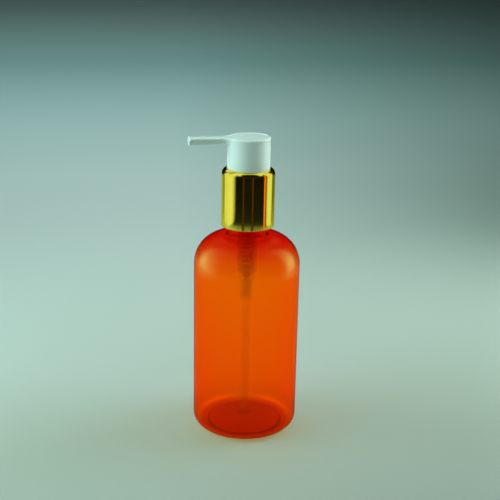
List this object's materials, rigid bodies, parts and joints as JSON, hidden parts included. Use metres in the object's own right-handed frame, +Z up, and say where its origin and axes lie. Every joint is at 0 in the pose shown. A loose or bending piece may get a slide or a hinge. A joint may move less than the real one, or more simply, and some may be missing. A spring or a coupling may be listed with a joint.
{
  "type": "pump oil bottle",
  "caption": "Round clear plastic bottle for massage oil with a tall metal-shelled screw closure and a push-down pump head with a long spout arm",
  "frame": {"origin": "centre of the ring the bottle stands on, on the bottle's axis", "axes": "+Z up along the bottle's axis, -X along the nozzle arm, Y across it"},
  "size_m": [0.0608, 0.0576, 0.1641],
  "materials": {
    "tinted_bottle": "clear orange-tinted plastic, polished",
    "white_plastic": "white moulded plastic, satin gloss",
    "natural_plastic": "natural translucent moulded plastic",
    "clear_tube": "natural extruded plastic tube",
    "soft_seal": "soft natural plastic",
    "gold_metal": "gold-anodised aluminium, mirror bright",
    "steel": "bright stainless steel"
  },
  "bodies": {
    "bottle": {"bottle": "tinted_bottle"},
    "pump_core": {"pump_housing": "natural_plastic", "chaplet": "white_plastic", "gasket": "soft_seal", "dip_tube": "clear_tube", "return_spring": "steel"},
    "closure": {"screw_cap": "white_plastic", "gold_collar": "gold_metal"},
    "valve_plug": {"valve_plug": "white_plastic"},
    "head": {"stem": "white_plastic", "head_body": "white_plastic", "head_cover": "white_plastic"},
    "piston": {"piston": "soft_seal"},
    "inlet_ball": {"inlet_ball": "steel"}
  },
  "joints": [
    {"name": "pump_lift", "type": "slide", "parent": "bottle", "child": "pump_core", "axis": [0, 0, 1], "range_m": [0, 0.00476]},
    {"name": "closure_unscrew", "type": "hinge", "parent": "pump_core", "child": "closure", "pos_m": [0, 0, 0.131], "axis": [0, 0, 1], "range_deg": [0, 540]},
    {"name": "pump_stroke", "type": "slide", "parent": "pump_core", "child": "valve_plug", "axis": [0, 0, 1], "range_m": [-0.01, 0], "stiffness_N_per_m": 350, "springref_m": 0.008, "deforming": ["return_spring"]},
    {"name": "head_turn", "type": "hinge", "parent": "valve_plug", "child": "head", "pos_m": [0, 0, 0.15], "axis": [0, 0, 1], "continuous": true},
    {"name": "piston_slip", "type": "slide", "parent": "valve_plug", "child": "piston", "axis": [0, 0, 1], "range_m": [0, 0.0008]},
    {"name": "ball_lift", "type": "slide", "parent": "pump_core", "child": "inlet_ball", "axis": [0, 0, 1], "range_m": [0, 0.001]}
  ],
  "couplings": [
    {"joint": "pump_lift", "follows": "closure_unscrew", "m_per_rad": 0.00050532}
  ]
}
